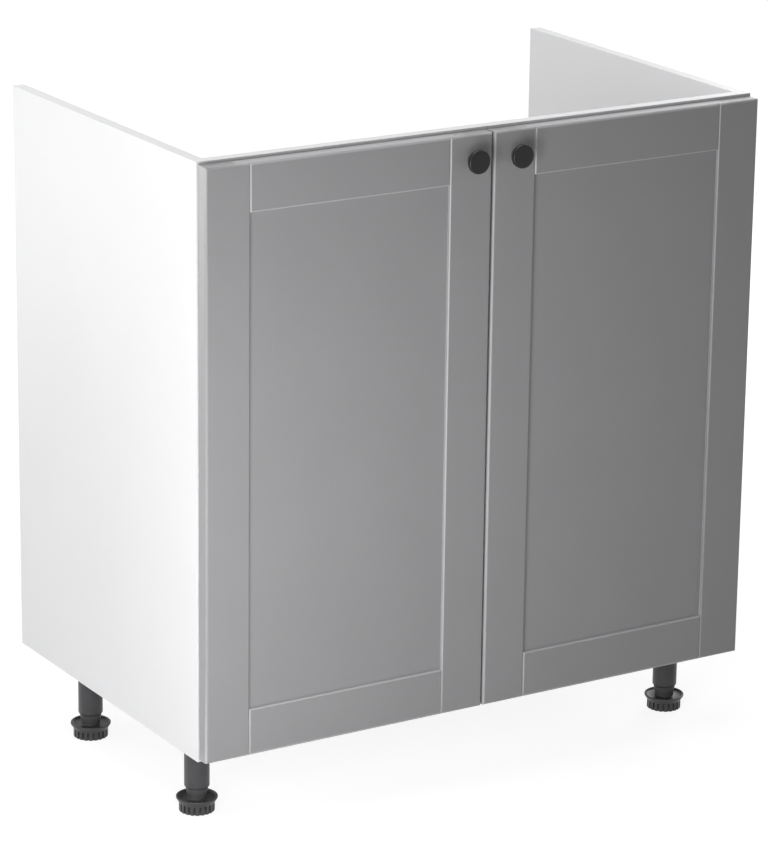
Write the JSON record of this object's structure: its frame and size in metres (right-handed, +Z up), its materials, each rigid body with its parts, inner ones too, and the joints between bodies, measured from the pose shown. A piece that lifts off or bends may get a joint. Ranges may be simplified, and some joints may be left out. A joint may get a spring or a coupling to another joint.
{
  "type": "sink base cabinet",
  "caption": "Kitchen sink base cabinet, open at top and back, with framed doors on concealed hinges, round knobs and adjustable legs.",
  "frame": {"origin": "on the floor, under the centre of the overall box", "axes": "+X to the right seen from the front, +Y to the back, +Z up; the doors face -Y"},
  "size_m": [0.8, 0.52, 0.85],
  "materials": {
    "white_board": "white melamine facing on chipboard, satin",
    "grey_door": "grey foil on fibreboard, satin",
    "black_knob": "black, semi-gloss",
    "plated_steel": "nickel plated",
    "dark_plastic": "dark grey moulded plastic, matt",
    "zinc_alloy": "zinc die casting"
  },
  "bodies": {
    "carcass": {"bottom_panel": "white_board", "cam_lock_bottom_front_left": "zinc_alloy", "cam_lock_bottom_front_right": "zinc_alloy", "cam_lock_bottom_rear_left": "zinc_alloy", "cam_lock_bottom_rear_right": "zinc_alloy", "cam_lock_front_left": "zinc_alloy", "cam_lock_front_right": "zinc_alloy", "cam_lock_rear_left": "zinc_alloy", "cam_lock_rear_right": "zinc_alloy", "front_top_rail": "white_board", "hinge_left_lower_arm": "plated_steel", "hinge_left_lower_plate": "plated_steel", "hinge_left_upper_arm": "plated_steel", "hinge_left_upper_plate": "plated_steel", "hinge_right_lower_arm": "plated_steel", "hinge_right_lower_plate": "plated_steel", "hinge_right_upper_arm": "plated_steel", "hinge_right_upper_plate": "plated_steel", "leg_front_left_socket": "dark_plastic", "leg_front_left_tube": "dark_plastic", "leg_front_right_socket": "dark_plastic", "leg_front_right_tube": "dark_plastic", "leg_rear_left_socket": "dark_plastic", "leg_rear_left_tube": "dark_plastic", "leg_rear_right_socket": "dark_plastic", "leg_rear_right_tube": "dark_plastic", "rear_rail": "white_board", "side_panel_left": "white_board", "side_panel_right": "white_board"},
    "left_long_levers": {"hinge_left_lower_long_lever": "plated_steel", "hinge_left_upper_long_lever": "plated_steel"},
    "left_short_levers": {"hinge_left_lower_short_lever": "plated_steel", "hinge_left_upper_short_lever": "plated_steel"},
    "left_door": {"door_left_bottom_rail": "grey_door", "door_left_hinge_stile": "grey_door", "door_left_meeting_stile": "grey_door", "door_left_panel": "grey_door", "door_left_top_rail": "grey_door", "hinge_left_lower_cup": "plated_steel", "hinge_left_upper_cup": "plated_steel", "knob_left": "black_knob", "knob_screw_left": "plated_steel"},
    "right_long_levers": {"hinge_right_lower_long_lever": "plated_steel", "hinge_right_upper_long_lever": "plated_steel"},
    "right_short_levers": {"hinge_right_lower_short_lever": "plated_steel", "hinge_right_upper_short_lever": "plated_steel"},
    "right_door": {"door_right_bottom_rail": "grey_door", "door_right_hinge_stile": "grey_door", "door_right_meeting_stile": "grey_door", "door_right_panel": "grey_door", "door_right_top_rail": "grey_door", "hinge_right_lower_cup": "plated_steel", "hinge_right_upper_cup": "plated_steel", "knob_right": "black_knob", "knob_screw_right": "plated_steel"},
    "foot_front_left": {"leg_front_left_foot": "dark_plastic"},
    "foot_front_right": {"leg_front_right_foot": "dark_plastic"},
    "foot_rear_left": {"leg_rear_left_foot": "dark_plastic"},
    "foot_rear_right": {"leg_rear_right_foot": "dark_plastic"}
  },
  "joints": [
    {"name": "left_long_lever_pivot", "type": "hinge", "parent": "carcass", "child": "left_long_levers", "pos_m": [-0.36, -0.2056, 0.45], "axis": [0, 0, 1], "range_deg": [0, 24.72]},
    {"name": "left_short_lever_pivot", "type": "hinge", "parent": "carcass", "child": "left_short_levers", "pos_m": [-0.368, -0.22565, 0.45], "axis": [0, 0, 1], "range_deg": [0, 37.07]},
    {"name": "left_door_pivot", "type": "hinge", "parent": "left_long_levers", "child": "left_door", "pos_m": [-0.388, -0.2242, 0.45], "axis": [0, 0, -1], "range_deg": [0, 119.7]},
    {"name": "right_long_lever_pivot", "type": "hinge", "parent": "carcass", "child": "right_long_levers", "pos_m": [0.36, -0.2056, 0.45], "axis": [0, 0, -1], "range_deg": [0, 24.72]},
    {"name": "right_short_lever_pivot", "type": "hinge", "parent": "carcass", "child": "right_short_levers", "pos_m": [0.368, -0.22565, 0.45], "axis": [0, 0, -1], "range_deg": [0, 37.07]},
    {"name": "right_door_pivot", "type": "hinge", "parent": "right_long_levers", "child": "right_door", "pos_m": [0.388, -0.2242, 0.45], "axis": [0, 0, 1], "range_deg": [0, 119.7]},
    {"name": "foot_front_left_height", "type": "slide", "parent": "carcass", "child": "foot_front_left", "axis": [0, 0, 1], "range_m": [-0.02, 0]},
    {"name": "foot_front_right_height", "type": "slide", "parent": "carcass", "child": "foot_front_right", "axis": [0, 0, 1], "range_m": [-0.02, 0]},
    {"name": "foot_rear_left_height", "type": "slide", "parent": "carcass", "child": "foot_rear_left", "axis": [0, 0, 1], "range_m": [-0.02, 0]},
    {"name": "foot_rear_right_height", "type": "slide", "parent": "carcass", "child": "foot_rear_right", "axis": [0, 0, 1], "range_m": [-0.02, 0]}
  ],
  "couplings": [
    {"joint": "left_long_lever_pivot", "follows": "left_door_pivot", "ratio": 0.20635},
    {"joint": "left_short_lever_pivot", "follows": "left_door_pivot", "ratio": 0.30952},
    {"joint": "right_long_lever_pivot", "follows": "right_door_pivot", "ratio": 0.20635},
    {"joint": "right_short_lever_pivot", "follows": "right_door_pivot", "ratio": 0.30952}
  ]
}
